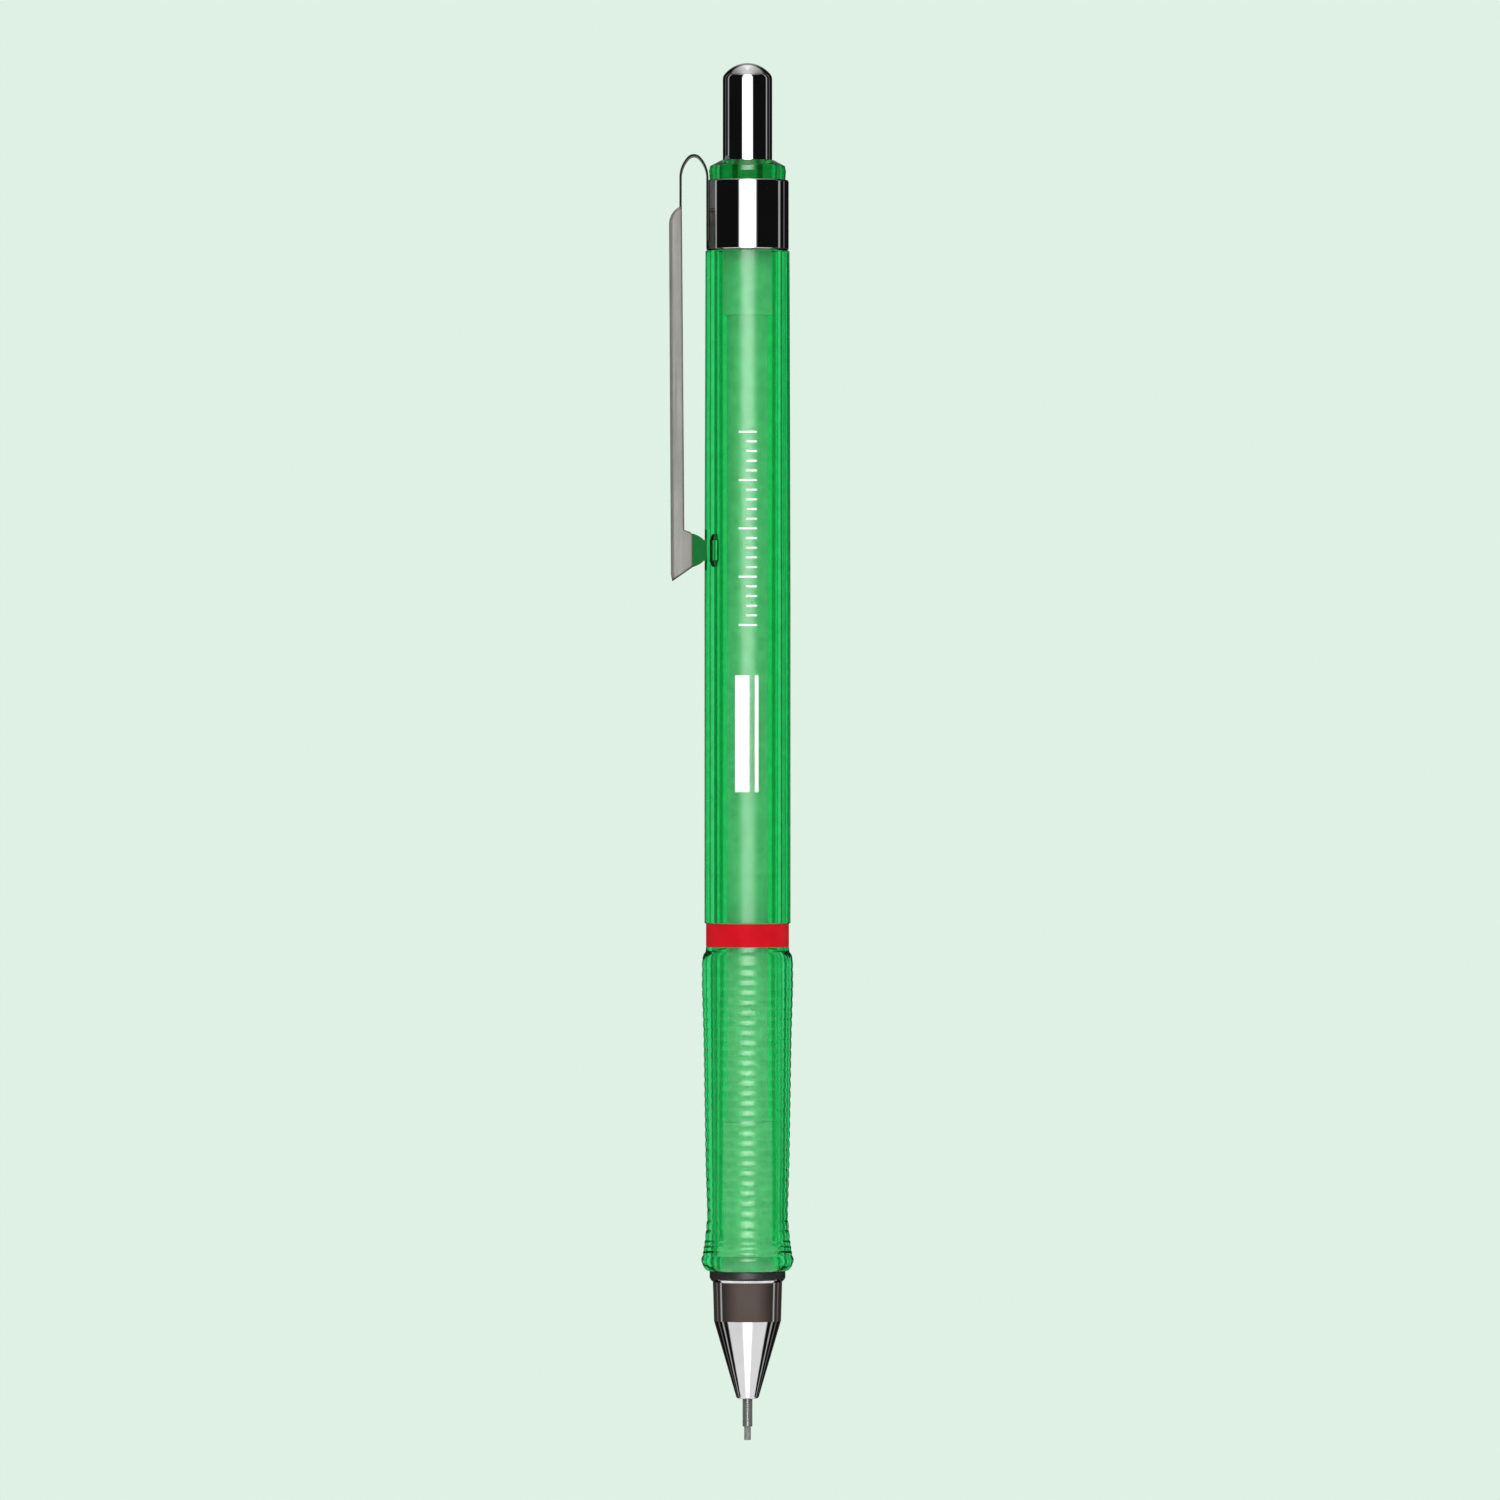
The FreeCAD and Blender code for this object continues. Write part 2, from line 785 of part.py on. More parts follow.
def make_front_ring():
    make_plain_ring(
        "front_ring",
        dim.front_ring_foot,
        dim.barrel_front - dim.face_gap,
        dim.barrel_port_radius,
        dim.front_ring_radius,
        dim.front_ring_round,
        "front_ring_round",
    )


def make_colour_ring():
    make_plain_ring(
        "colour_ring",
        dim.colour_ring_foot + dim.face_gap,
        dim.barrel_foot - dim.face_gap,
        dim.barrel_waist_radius + dim.seat_gap,
        dim.colour_ring_radius,
        dim.face_gap,
        "colour_ring_round",
    )


def make_clip_ring():
    """The bright ring that holds the clip, with a flat seat in its outer face for the clip's root."""
    body = make_plain_ring(
        "clip_ring",
        dim.barrel_top + dim.face_gap,
        dim.clip_ring_top,
        dim.barrel_neck_radius + dim.seat_gap,
        dim.clip_ring_radius,
        dim.clip_ring_round,
        "clip_ring_round",
    )
    seat_depth = dim.clip_root_across - dim.clip_thickness / 2 - dim.seat_gap
    outside = dim.clip_ring_radius + dim.clip_thickness
    seat_foot = dim.clip_root_foot - dim.face_gap
    seat_top = dim.clip_ring_top + dim.clip_thickness
    sketch = draw_outline(
        body,
        "clip_seat_outline",
        [
            (-seat_depth, seat_foot),
            (-seat_depth, seat_top),
            (-outside, seat_top),
            (-outside, seat_foot),
        ],
    )
    pocket(body, sketch, "clip_seat", dim.clip_strip_width + dim.sliding_gap)


def grip_radius(height, stations):
    """The grip's radius between its stations, at a height."""
    for (low_height, low_radius), (high_height, high_radius) in zip(stations, stations[1:]):
        if height <= high_height:
            share = (height - low_height) / (high_height - low_height)
            return low_radius + share * (high_radius - low_radius)
    return stations[-1][1]


def rib_arcs(stations, foot, top, count, rib_height):
    """A row of outward arcs, one for each rib, from foot to top."""
    arcs = []
    pitch = (top - foot) / count
    for index in range(count):
        low, high = foot + index * pitch, foot + (index + 1) * pitch
        middle = (low + high) / 2
        start = Vector(grip_radius(low, stations), 0, low)
        crest = Vector(grip_radius(middle, stations) + rib_height, 0, middle)
        end = Vector(grip_radius(high, stations), 0, high)
        arcs.append(Part.Arc(start, crest, end).toShape())
    return arcs


def make_grip_sleeve():
    """The soft grip: a waisted sleeve with fine rings all the way along and a rolled hem at its foot."""
    inner = dim.barrel_waist_radius.value + dim.seat_gap.value
    foot = dim.grip_foot.value
    flare_height, flank_height = dim.grip_flare_height.value, dim.grip_flank_height.value
    crown_height = dim.grip_crown_height.value
    stations = [
        (getattr(dim, f"grip_{place}_height").value, getattr(dim, f"grip_{place}_radius").value)
        for place in ("flare", "flank", "waist", "swell", "belly", "shoulder", "crown")
    ]
    inner_foot = Vector(inner, 0, foot)
    hem_foot = Vector(dim.grip_hem_radius.value, 0, foot)
    hem_top = Vector(dim.grip_hem_bulge.value, 0, dim.grip_hem_top.value)
    hem_belly = (hem_foot + hem_top) / 2 + Vector(1, 0, -1) * dim.rib_height.value
    lip = Vector(dim.grip_lip_radius.value, 0, dim.grip_lip_height.value)
    flare = Vector(dim.grip_flare_radius.value, 0, flare_height)
    crown = Vector(dim.grip_crown_radius.value, 0, crown_height)
    collar = Vector(dim.grip_collar_radius.value, 0, dim.grip_collar_height.value)
    outer_top = Vector(dim.grip_top_radius.value, 0, dim.grip_top.value)
    inner_top = Vector(inner, 0, dim.grip_top.value)
    shoulder_bulge = (crown + collar) / 2 + Vector(1, 0, 1) * dim.rib_height.value
    rib_height = dim.rib_height.value
    edges = [
        Part.makeLine(inner_foot, hem_foot),
        Part.Arc(hem_foot, hem_belly, hem_top).toShape(),
        Part.Arc(hem_top, lip, flare).toShape(),
        *rib_arcs(stations, flare_height, flank_height, int(dim.fine_rib_count.value), rib_height),
        *rib_arcs(stations, flank_height, crown_height, int(dim.rib_count.value), rib_height),
        Part.Arc(crown, shoulder_bulge, collar).toShape(),
        Part.makeLine(collar, outer_top),
        Part.makeLine(outer_top, inner_top),
        Part.makeLine(inner_top, inner_foot),
    ]
    section = Part.Face(Part.Wire(edges))
    grip = doc.addObject("Part::Feature", "grip_sleeve")
    grip.Label = "grip_sleeve"
    grip.Shape = Part.Solid(section.revolve(Vector(0, 0, 0), Vector(0, 0, 1), FULL_TURN))
    grip.Placement = FreeCAD.Placement(Vector(0, 0, -dim.datum_height.value), Rotation())


# ---------------------------------------------------------------- clip


def make_clip_spring():
    """The sprung loop of the clip: a strip that rises from the ring and arches over to the arm."""
    body = new_body("clip_spring")
    flank, crown = dim.clip_flank_radius, dim.clip_crown_radius
    root, leg = -dim.clip_root_across.value, -dim.clip_leg_across.value
    spring_line = dim.clip_spring_line.value
    half_span = (root - leg) / 2
    lean = math.acos((flank.value - half_span) / (flank.value - crown.value))
    reach = flank.value - crown.value
    crown_centre = Vector(root - half_span, spring_line + reach * math.sin(lean), 0)
    root_centre = Vector(root - flank.value, spring_line, 0)
    leg_centre = Vector(leg + flank.value, spring_line, 0)
    facing = Vector(0, 0, 1)

    def arc(centre, radius, start, end):
        return Part.ArcOfCircle(Part.Circle(centre, facing, radius), start, end)

    path = new_sketch(body, "clip_spring_path")
    root_foot = Vector(root, dim.clip_root_foot.value, 0)
    path.addGeometry(Part.LineSegment(root_foot, Vector(root, spring_line, 0)))
    path.addGeometry(arc(root_centre, flank.value, 0, lean))
    path.addGeometry(arc(crown_centre, crown.value, lean, math.pi - lean))
    path.addGeometry(arc(leg_centre, flank.value, math.pi - lean, math.pi))
    path.addGeometry(Part.LineSegment(Vector(leg, spring_line, 0), Vector(leg, dim.clip_leg_foot.value, 0)))
    root_line, root_flank, top, leg_flank, leg_line = range(path.GeometryCount)
    for edge in range(leg_line):
        path.addConstraint(Sketcher.Constraint("Tangent", edge, 2, edge + 1, 1))
    tie_point(path, root_line, 1, -dim.clip_root_across, dim.clip_root_foot)
    tie_point(path, leg_line, 2, -dim.clip_leg_across, dim.clip_leg_foot)
    tie(path, "DistanceY", (-1, 1, root_line, 2), dim.clip_spring_line)
    tie(path, "DistanceY", (-1, 1, leg_line, 1), dim.clip_spring_line)
    tie(path, "Radius", (root_flank,), flank)
    tie(path, "Radius", (top,), crown)
    tie(path, "Radius", (leg_flank,), flank)

    section = new_sketch(body, "clip_spring_section", "XY_Plane")
    section.setExpression("AttachmentOffset.Base.z", dim.clip_root_foot.formula)
    near, far = dim.clip_thickness / 2 - dim.clip_root_across, -dim.clip_thickness / 2 - dim.clip_root_across
    side = dim.clip_strip_width / 2
    corners = [(far, -side), (near, -side), (near, side), (far, side)]
    for edge, (across, along) in enumerate(corners):
        next_across, next_along = corners[(edge + 1) % len(corners)]
        start = Vector(across.value, along.value, 0)
        section.addGeometry(Part.LineSegment(start, Vector(next_across.value, next_along.value, 0)))
    for edge, (across, along) in enumerate(corners):
        section.addConstraint(Sketcher.Constraint("Coincident", edge, 2, (edge + 1) % len(corners), 1))
        tie_point(section, edge, 1, across, along)
    strip = body.newObject("PartDesign::AdditivePipe", "clip_spring_strip")
    strip.Profile = section
    strip.Spine = (path, [f"Edge{number + 1}" for number in range(path.GeometryCount)])


def make_clip_arm():
    """The arm: a channel of sheet steel, open towards the barrel, with a deeper foot at its end."""
    body = new_body("clip_arm")
    half_strip = dim.clip_thickness / 2
    shoulder_edge = 1
    outline = draw_outline(
        body,
        "clip_arm_outline",
        [
            (half_strip - dim.clip_leg_across, dim.arm_top),
            (-half_strip - dim.clip_leg_across, dim.arm_top),
            (-dim.arm_shoulder_across, dim.arm_shoulder_height),
            (-dim.arm_heel_across, dim.arm_heel_height),
            (-dim.arm_tip_across, dim.arm_tip_height),
            (-dim.arm_toe_across, dim.arm_toe_foot),
            (-dim.arm_toe_across, dim.arm_toe_top),
            (-dim.arm_step_across, dim.arm_step_height),
            (-dim.arm_instep_across, dim.arm_instep_height),
            (-dim.arm_edge_across, dim.arm_edge_height),
        ],
        arcs={shoulder_edge: dim.arm_shoulder_round},
    )
    pad(body, outline, "clip_arm_blank", dim.arm_width)
    dress_edges(body, "Fillet", "clip_arm_round", dim.arm_round, is_long_arm_edge)
    inside = draw_outline(
        body,
        "clip_arm_inside",
        [
            (-dim.arm_mouth_across, dim.arm_roof),
            (-half_strip - dim.clip_leg_across, dim.arm_roof),
            (dim.arm_wall - dim.arm_shoulder_across, dim.arm_shoulder_height),
            (dim.arm_wall - dim.arm_tip_across, dim.arm_mouth_foot),
            (-dim.arm_mouth_across, dim.arm_mouth_foot),
        ],
    )
    pocket(body, inside, "clip_arm_channel", dim.arm_width - dim.arm_wall - dim.arm_wall)


def is_long_arm_edge(edge):
    """Whether an edge is one of the outer corners that run down the back of the clip's arm."""
    middle = edge.valueAt((edge.FirstParameter + edge.LastParameter) / 2)
    on_side = abs(abs(middle.y) - dim.arm_width.value / 2) < SAME_PLACE
    runs_along = abs(edge.Vertexes[0].Y - edge.Vertexes[-1].Y) < SAME_PLACE
    return on_side and runs_along and middle.x < -dim.clip_leg_across.value - dim.clip_thickness.value


# ---------------------------------------------------------------- assembly


def make_pieces():
    make_barrel()
    make_colour_ring()
    make_front_ring()
    make_clip_ring()
    make_grip_sleeve()
    make_top_collar()
    make_mechanism_sleeve()
    make_return_spring()
    make_clip_spring()
    make_clip_arm()
    make_lead_tube()
    make_chuck_body()
    make_eraser_holder()
    make_eraser()
    make_push_button()
    make_clutch_ring()
    for number in range(JAW_COUNT):
        make_chuck_jaw(f"chuck_jaw_{number + 1}", FIRST_JAW_BEARING + number * FULL_TURN / JAW_COUNT)
    make_nose_cone()
    make_guide_sleeve()
    make_lead_retainer()
    make_lead()
    make_spare_lead("spare_lead_1", 1)
    make_spare_lead("spare_lead_2", -1)


def is_piece(item):
    return item.isDerivedFrom("PartDesign::Body") or item.Name == "grip_sleeve"


def check_and_export():
    """Stops on any failed object or bad solid, then writes one STEP file for each piece."""
    doc.recompute()
    for item in doc.Objects:
        if "Invalid" in item.State or "Error" in item.State:
            raise ValueError(f"{item.Name} failed to compute: {item.State}")
    pieces = [item for item in doc.Objects if is_piece(item)]
    for piece in pieces:
        shape = piece.Shape
        if shape.isNull() or not shape.isValid() or len(shape.Solids) != 1:
            raise ValueError(f"{piece.Label} is not one valid solid")
    os.makedirs("parts", exist_ok=True)
    for piece in pieces:
        piece.Shape.exportStep(f"parts/{piece.Label}.step")
        print(f"{piece.Label}: {piece.Shape.Volume:.3f} mm3")


make_pieces()
check_and_export()
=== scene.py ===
"""The looks of the push-button lead holder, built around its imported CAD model.

Lengths are in metres. +Z runs to the push button, -X is towards the clip, and the camera stands on -Y.
"""

import json
import math

import bpy
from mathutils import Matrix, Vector


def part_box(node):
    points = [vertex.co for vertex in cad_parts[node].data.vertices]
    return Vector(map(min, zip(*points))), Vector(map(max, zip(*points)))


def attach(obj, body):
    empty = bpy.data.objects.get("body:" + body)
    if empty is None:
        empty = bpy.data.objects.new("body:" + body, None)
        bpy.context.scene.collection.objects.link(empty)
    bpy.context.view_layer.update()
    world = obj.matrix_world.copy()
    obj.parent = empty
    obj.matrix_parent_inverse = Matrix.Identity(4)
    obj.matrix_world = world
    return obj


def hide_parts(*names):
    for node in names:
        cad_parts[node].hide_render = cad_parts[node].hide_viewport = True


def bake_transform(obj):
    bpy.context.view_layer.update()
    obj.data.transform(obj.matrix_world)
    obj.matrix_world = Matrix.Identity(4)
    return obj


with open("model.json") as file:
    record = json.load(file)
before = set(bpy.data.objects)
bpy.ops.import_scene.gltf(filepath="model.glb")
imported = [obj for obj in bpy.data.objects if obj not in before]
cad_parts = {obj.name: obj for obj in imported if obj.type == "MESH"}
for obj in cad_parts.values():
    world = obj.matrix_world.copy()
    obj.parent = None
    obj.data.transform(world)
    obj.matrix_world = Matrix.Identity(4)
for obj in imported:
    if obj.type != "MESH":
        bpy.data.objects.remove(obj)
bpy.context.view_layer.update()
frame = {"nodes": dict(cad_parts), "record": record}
nodes = frame["nodes"]

MM = 0.001
DATUM_HEIGHT = 71.5 * MM  # the origin's height above the lead's point, as in the CAD
FULL_TURN = 2 * math.pi


def height(mm):
    """The z of a place that lies so many millimetres above the lead's point."""
    return mm * MM - DATUM_HEIGHT


# ---------------------------------------------------------------- node trees


class Nodes:
    """Short calls for building one node tree."""

    def __init__(self, tree):
        self.tree = tree
        tree.nodes.clear()

    def set(self, socket, value):
        if isinstance(value, bpy.types.NodeSocket):
            self.tree.links.new(value, socket)
        else:
            socket.default_value = value

    def add(self, kind, inputs=None, **settings):
        node = self.tree.nodes.new("ShaderNode" + kind)
        for name, value in settings.items():
            setattr(node, name, value)
        for name, value in (inputs or {}).items():
            self.set(node.inputs[name], value)
        return node

    def math(self, operation, *values):
        node = self.add("Math", operation=operation)
        for socket, value in zip(node.inputs, values):
            self.set(socket, value)
        return node.outputs[0]

    def ramp(self, value, low, high, to_low=0.0, to_high=1.0):
        """value from low..high, eased to to_low..to_high."""
        node = self.add(
            "MapRange",
            {"Value": value, "From Min": low, "From Max": high, "To Min": to_low, "To Max": to_high},
            interpolation_type="SMOOTHSTEP",
        )
        return node.outputs[0]

    def band(self, value, low, high, soft):
        """1 where value lies between low and high, easing to 0 over soft outside them."""
        rising = self.ramp(value, low - soft, low)
        falling = self.ramp(value, high, high + soft, 1.0, 0.0)
        return self.math("MULTIPLY", rising, falling)

    def total(self, *values):
        result = values[0]
        for value in values[1:]:
            result = self.math("ADD", result, value)
        return result

    def mix(self, factor, first, second):
        node = self.add("Mix", {"Factor": factor}, data_type="RGBA")
        self.set(node.inputs[6], first)
        self.set(node.inputs[7], second)
        return node.outputs[2]

    def mix_add(self, base, amount, tint):
        """base and so much of a tint added to it."""
        scaled = self.add("VectorMath", {"Scale": amount}, operation="SCALE")
        self.set(scaled.inputs[0], tint[:3])
        sum_node = self.add("VectorMath", operation="ADD")
        self.set(sum_node.inputs[0], base)
        self.set(sum_node.inputs[1], scaled.outputs[0])
        return sum_node.outputs[0]

    def shader_mix(self, factor, first, second):
        node = self.add("MixShader")
        for socket, value in zip(node.inputs, (factor, first, second)):
            self.set(socket, value)
        return node.outputs[0]

    def noise(self, vector, scale, detail=3.0, roughness=0.5):
        node = self.add(
            "TexNoise",
            {"Vector": vector, "Scale": scale, "Detail": detail, "Roughness": roughness},
        )
        return node.outputs["Fac"]

    def stretched(self, vector, scale):
        return self.add("Mapping", {"Vector": vector, "Scale": scale}).outputs[0]

    def bump(self, value, depth):
        node = self.add("Bump", {"Height": value, "Distance": depth, "Strength": 1.0})
        return node.outputs[0]

    def finish(self, shader, output="OutputMaterial"):
        node = self.add(output)
        self.set(node.inputs["Surface"], shader)


def new_material(name):
    """A material with an empty tree, its builder and the piece's own coordinates."""
    material = bpy.data.materials.new(name)
    material.use_nodes = True
    n = Nodes(material.node_tree)
    place = n.add("TexCoord").outputs["Object"]
    return material, n, place


def grey(value):
    return value, value, value, 1.0


def colour(red, green, blue):
    return red, green, blue, 1.0


MOTTLE = (0.3, 0.7)  # the span of a noise over which one tone turns to the other


# ---------------------------------------------------------------- plastics

WALL_TINT = colour(0.59, 0.895, 0.70)  # one surface of the barrel's wall; a wall has two
GRIP_TINT = colour(0.70, 0.93, 0.77)
COLLAR_TINT = colour(0.40, 0.75, 0.54)
FRONT_TINT = colour(0.93, 0.99, 0.96)
REST_TINT = colour(0.0, 0.19, 0.07)
REST_SHINE = 0.06  # how much of its skin's shine the clip rest keeps
REST_ROOT = 4.18 * MM  # how far from the axis the clip rest leaves the barrel
REST_FOOT = height(90.3)
REST_TOP = height(94.5)
REST_BLEND = 0.06 * MM
RIPPLE_STRETCH = (260.0, 260.0, 60.0)  # long ripples along the barrel
DEEPER = 0.94  # how much of the tint the denser clouds let through
BLUR_SPREAD = 0.02


def in_barrel(n, place, outside):
    """1 in the barrel proper, easing to another value in the clip rest that stands out from it."""
    axes = n.add("SeparateXYZ", {"Vector": place}).outputs
    beside = n.ramp(axes["X"], -REST_ROOT - REST_BLEND, -REST_ROOT, 1.0, 0.0)
    level = n.band(axes["Z"], REST_FOOT, REST_TOP, REST_BLEND)
    return n.ramp(n.math("MULTIPLY", beside, level), 0.0, 1.0, 1.0, outside)


def barrel_tint(n, place, tint):
    """The barrel's tint: paler in its thin front under the grip, and deeper in the solid clip rest."""
    axes = n.add("SeparateXYZ", {"Vector": place}).outputs
    ring_foot, ring_top = (corner.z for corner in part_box("colour_ring"))
    tint = n.mix(n.ramp(axes["Z"], ring_foot, ring_top), FRONT_TINT, tint)
    from_inside = n.add("NewGeometry").outputs["Backfacing"]
    return n.mix(n.math("MAXIMUM", in_barrel(n, place, 0.0), from_inside), REST_TINT, tint)


def clear_plastic(
    name,
    tint,
    gloss,
    clearness,
    ior=1.49,
    milk=0.0,
    milk_colour=None,
    depth=1.5e-6,
    placed=None,
):
    """Tinted see-through plastic, whose skin shines with roughness gloss.

    It blurs what lies behind it by clearness, and lets plain light through, so that what is inside it is lit.
    placed varies the tint by place.
    """
    material, n, place = new_material(name)
    ripple = n.noise(n.stretched(place, RIPPLE_STRETCH), 1.0, 2.0)
    cloud = n.noise(place, 900.0, 3.0)
    normal = n.bump(ripple, depth)
    from_inside = n.add("NewGeometry").outputs["Backfacing"]
    deep = tuple(channel * DEEPER for channel in tint[:3]) + (1.0,)
    body_tint = n.mix(n.ramp(cloud, 0.35, 0.65), deep, tint)
    if placed:
        body_tint = placed(n, place, body_tint)
    blur = n.ramp(cloud, *MOTTLE, clearness, clearness + BLUR_SPREAD)
    refraction = n.add(
        "BsdfRefraction",
        {"Color": body_tint, "Roughness": blur, "IOR": ior, "Normal": normal},
    )
    mirrored = n.mix(from_inside, grey(1.0), body_tint)
    shine = n.add("Mix", {"Factor": from_inside}, data_type="FLOAT")
    n.set(shine.inputs[2], gloss)
    n.set(shine.inputs[3], blur)
    skin = n.add("BsdfAnisotropic", {"Color": mirrored, "Roughness": shine.outputs[0], "Normal": normal})
    share = n.add("Fresnel", {"IOR": ior, "Normal": normal}).outputs[0]
    if placed:
        share = n.math("MULTIPLY", share, in_barrel(n, place, REST_SHINE))
    shader = n.shader_mix(share, refraction.outputs[0], skin.outputs[0])
    if milk:
        scatter = n.add("BsdfPrincipled", {"Base Color": milk_colour, "Roughness": 0.45, "Normal": normal})
        translucent = n.add("BsdfTranslucent", {"Color": milk_colour})
        both = n.shader_mix(0.5, scatter.outputs[0], translucent.outputs[0])
        shader = n.shader_mix(milk, shader, both)
    path = n.add("LightPath")
    plain = n.math("MAXIMUM", path.outputs["Is Shadow Ray"], path.outputs["Is Diffuse Ray"])
    through = n.add("BsdfTransparent", {"Color": body_tint})
    n.finish(n.shader_mix(plain, shader, through.outputs[0]))
    return material


def milky_plastic():
    """Natural, slightly cloudy plastic of the pieces inside."""
    material, n, place = new_material("milky_plastic")
    cloud = n.noise(place, 700.0, 4.0)
    fine = n.noise(place, 4000.0, 2.0)
    base = n.mix(n.ramp(cloud, *MOTTLE), colour(0.72, 0.92, 0.78), colour(0.80, 0.97, 0.86))
    normal = n.bump(fine, 1e-6)
    skin = n.add(
        "BsdfPrincipled",
        {
            "Base Color": base,
            "Roughness": n.ramp(fine, *MOTTLE, 0.58, 0.70),
            "IOR": 1.45,
            "Specular IOR Level": 0.85,
            "Normal": normal,
        },
    )
    glow = n.add("BsdfTranslucent", {"Color": base})
    n.finish(n.shader_mix(0.3, skin.outputs[0], glow.outputs[0]))
    return material


def red_plastic():
    """The satin red of the colour ring."""
    material, n, place = new_material("ring_red")
    cloud = n.noise(place, 500.0, 3.0)
    fine = n.noise(place, 5000.0, 2.0)
    base = n.mix(n.ramp(cloud, *MOTTLE), colour(0.56, 0.002, 0.010), colour(0.62, 0.003, 0.012))
    skin = n.add(
        "BsdfPrincipled",
        {
            "Base Color": base,
            "Roughness": n.ramp(fine, *MOTTLE, 0.38, 0.46),
            "Specular IOR Level": 0.08,
            "Normal": n.bump(fine, 1e-6),
        },
    )
    n.finish(skin.outputs[0])
    return material


def print_white():
    """Printed ink, slightly uneven."""
    material, n, place = new_material("print_white")
    grain = n.noise(place, 9000.0, 3.0)
    base = n.mix(n.ramp(grain, *MOTTLE), grey(0.84), grey(0.95))
    skin = n.add("BsdfPrincipled", {"Base Color": base, "Roughness": 0.5, "Normal": n.bump(grain, 2e-6)})
    n.finish(skin.outputs[0])
    return material


# ---------------------------------------------------------------- metals


# Painted shade: the clip's edges are darkened to near black, standing in for the shade and dark reflection
# along them.
EDGE_SHADE_WIDTH = 0.45 * MM  # the width of the near-black line of painted shade along the edges of sheet metal
EDGE_SHADE_TONE = grey(0.012)


def sheet_edge_painted_shade(n):
    """1 along the edges of a sheet, where its normal turns, and 0 on its faces; the mask of the painted shade
    along its edges.
    """
    rounded = n.add("Bevel", {"Radius": EDGE_SHADE_WIDTH}, samples=6).outputs[0]
    flat = n.add("NewGeometry").outputs["Normal"]
    alike = n.add("VectorMath", operation="DOT_PRODUCT")
    n.set(alike.inputs[0], rounded)
    n.set(alike.inputs[1], flat)
    return n.ramp(alike.outputs["Value"], 0.83, 0.97, 1.0, 0.0)


def cut_edge_painted_shade(n):
    """1 on the narrow cut edges of the clip's strip, which face along Y, and 0 on its broad faces; the mask
    of the painted shade on those edges.
    """
    facing = n.add("SeparateXYZ", {"Vector": n.add("NewGeometry").outputs["Normal"]}).outputs["Y"]
    return n.ramp(n.math("ABSOLUTE", facing), 0.75, 0.95)


def metal(
    name,
    dark,
    light,
    roughness,
    brushed=(1.0, 1.0, 1.0),
    depth=0.6e-6,
    metallic=1.0,
    grain_scale=3000.0,
    edges=None,
    shine=0.5,
):
    """Metal whose tone and gloss vary along fine lines; brushed stretches the lines along one axis. Where
    edges masks them, the edges are painted near black as shade.
    """
    material, n, place = new_material(name)
    lines = n.noise(n.stretched(place, brushed), grain_scale, 4.0, 0.6)
    patches = n.noise(place, 260.0, 3.0)
    base = n.mix(n.ramp(patches, *MOTTLE), dark, light)
    # painted shade: the masked edges turn near black, with no shine and no metal
    if edges:
        edge = edges(n)
        base = n.mix(edge, base, EDGE_SHADE_TONE)
        shine = n.math("MULTIPLY", n.math("SUBTRACT", 1.0, edge), shine)
        metallic = n.math("MULTIPLY", n.math("SUBTRACT", 1.0, edge), metallic)
    gloss = n.ramp(lines, 0.25, 0.75, roughness * 0.8, roughness * 1.25)
    skin = n.add(
        "BsdfPrincipled",
        {
            "Base Color": base,
            "Metallic": metallic,
            "Roughness": gloss,
            "Specular IOR Level": shine,
            "Normal": n.bump(lines, depth),
        },
    )
    n.finish(skin.outputs[0])
    return material


# ---------------------------------------------------------------- rubbers and lead


def soft_matter(name, dark, light, roughness, grain_scale, depth):
    """A dull material with a fine grain: rubber, moulded black or graphite."""
    material, n, place = new_material(name)
    grain = n.noise(place, grain_scale, 4.0, 0.6)
    base = n.mix(n.ramp(grain, *MOTTLE), dark, light)
    skin = n.add(
        "BsdfPrincipled",
        {"Base Color": base, "Roughness": roughness, "Normal": n.bump(grain, depth)},
    )
    n.finish(skin.outputs[0])
    return material


SLOT_MATERIALS = {
    "clear_green": clear_plastic("clear_green", WALL_TINT, 0.22, 0.01, placed=barrel_tint),
    "grip_green": clear_plastic(
        "grip_green",
        GRIP_TINT,
        0.20,
        0.012,
        1.45,
        milk=0.03,
        milk_colour=colour(0.02, 0.45, 0.14),
        depth=3e-6,
    ),
    "ring_red": red_plastic(),
    "dark_chrome": metal("dark_chrome", grey(0.72), grey(0.80), 0.025, (1.0, 1.0, 0.15), 0.06e-6),
    # the clip arm's edges carry a line of painted shade
    "clip_steel": metal(
        "clip_steel",
        colour(0.165, 0.158, 0.146),
        colour(0.195, 0.187, 0.172),
        0.45,
        (1.0, 1.0, 0.03),
        2e-6,
        0.15,
        edges=sheet_edge_painted_shade,
    ),
    "tube_steel": metal(
        "tube_steel",
        grey(0.22),
        grey(0.27),
        0.15,
        depth=0.03e-6,
        metallic=0.6,
        grain_scale=300.0,
        shine=0.3,
    ),
    "spring_steel": metal("spring_steel", grey(0.50), grey(0.62), 0.25),
    "milky_plastic": milky_plastic(),
    "chuck_brass": metal(
        "chuck_brass",
        colour(0.62, 0.42, 0.14),
        colour(0.78, 0.56, 0.22),
        0.25,
        (1.0, 1.0, 4.0),
    ),
    "retainer_rubber": soft_matter("retainer_rubber", grey(0.02), grey(0.035), 0.7, 4000.0, 4e-6),
    "eraser_white": soft_matter("eraser_white", grey(0.80), grey(0.90), 0.8, 2500.0, 8e-6),
    "ring_black": soft_matter("ring_black", grey(0.012), grey(0.02), 0.42, 5000.0, 1e-6),
    "print_white": print_white(),
    "graphite": soft_matter("graphite", grey(0.16), grey(0.24), 0.42, 3000.0, 0.3e-6),
}


